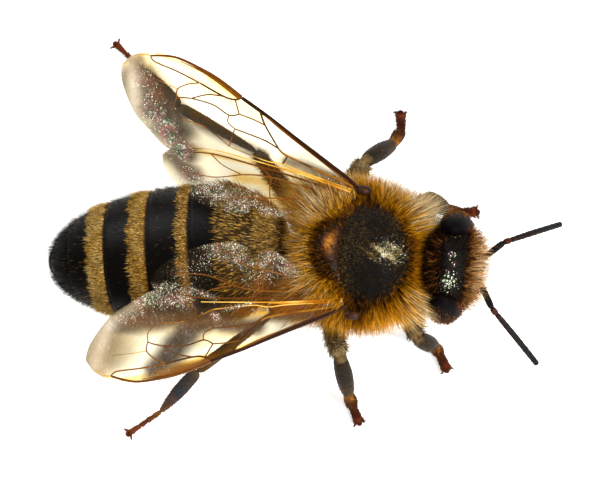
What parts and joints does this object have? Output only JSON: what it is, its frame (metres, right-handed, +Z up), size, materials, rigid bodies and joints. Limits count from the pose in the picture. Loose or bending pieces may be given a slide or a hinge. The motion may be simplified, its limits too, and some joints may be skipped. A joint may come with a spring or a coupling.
{
  "type": "honey bee",
  "caption": "Life-size worker honey bee standing on its six feet with its wings half spread and its feelers held forward.",
  "frame": {"origin": "on the floor, under the middle of the whole bee's bounding box", "axes": "+X the way the bee faces, +Y towards its left side, +Z up from the floor"},
  "size_m": [0.017, 0.0132, 0.0052],
  "materials": {
    "fur": "dense golden-brown branched hairs over black shell",
    "shell": "black-brown shell with a soft gloss and bands of short golden hair",
    "amber_shell": "thin amber-brown shell",
    "eye": "black, finely faceted, with short hairs",
    "leg": "dark brown shell with pale hairs",
    "foot": "reddish-brown shell with short bristles",
    "wing": "clear amber-tinted membrane with raised brown veins"
  },
  "bodies": {
    "root": {"abdomen_1": "shell", "abdomen_2": "shell", "abdomen_3": "shell", "abdomen_4": "shell", "abdomen_5": "shell", "abdomen_6": "shell", "eye_left": "eye", "eye_right": "eye", "flagellum_left": "shell", "flagellum_right": "shell", "fore_left_basitarsus": "foot", "fore_left_coxa": "leg", "fore_left_femur": "leg", "fore_left_tarsus": "foot", "fore_left_tibia": "leg", "fore_right_basitarsus": "foot", "fore_right_coxa": "leg", "fore_right_femur": "leg", "fore_right_tarsus": "foot", "fore_right_tibia": "leg", "forewing_left": "wing", "forewing_right": "wing", "head": "fur", "hind_left_basitarsus": "foot", "hind_left_coxa": "leg", "hind_left_femur": "leg", "hind_left_tarsus": "foot", "hind_left_tibia": "leg", "hind_right_basitarsus": "foot", "hind_right_coxa": "leg", "hind_right_femur": "leg", "hind_right_tarsus": "foot", "hind_right_tibia": "leg", "hindwing_left": "wing", "hindwing_right": "wing", "mandible_left": "amber_shell", "mandible_right": "amber_shell", "mid_left_basitarsus": "foot", "mid_left_coxa": "leg", "mid_left_femur": "leg", "mid_left_tarsus": "foot", "mid_left_tibia": "leg", "mid_right_basitarsus": "foot", "mid_right_coxa": "leg", "mid_right_femur": "leg", "mid_right_tarsus": "foot", "mid_right_tibia": "leg", "neck": "shell", "proboscis": "amber_shell", "scape_left": "shell", "scape_right": "shell", "scutellum": "shell", "tegula_left": "amber_shell", "tegula_right": "amber_shell", "thorax": "fur", "waist": "shell"}
  },
  "joints": []
}
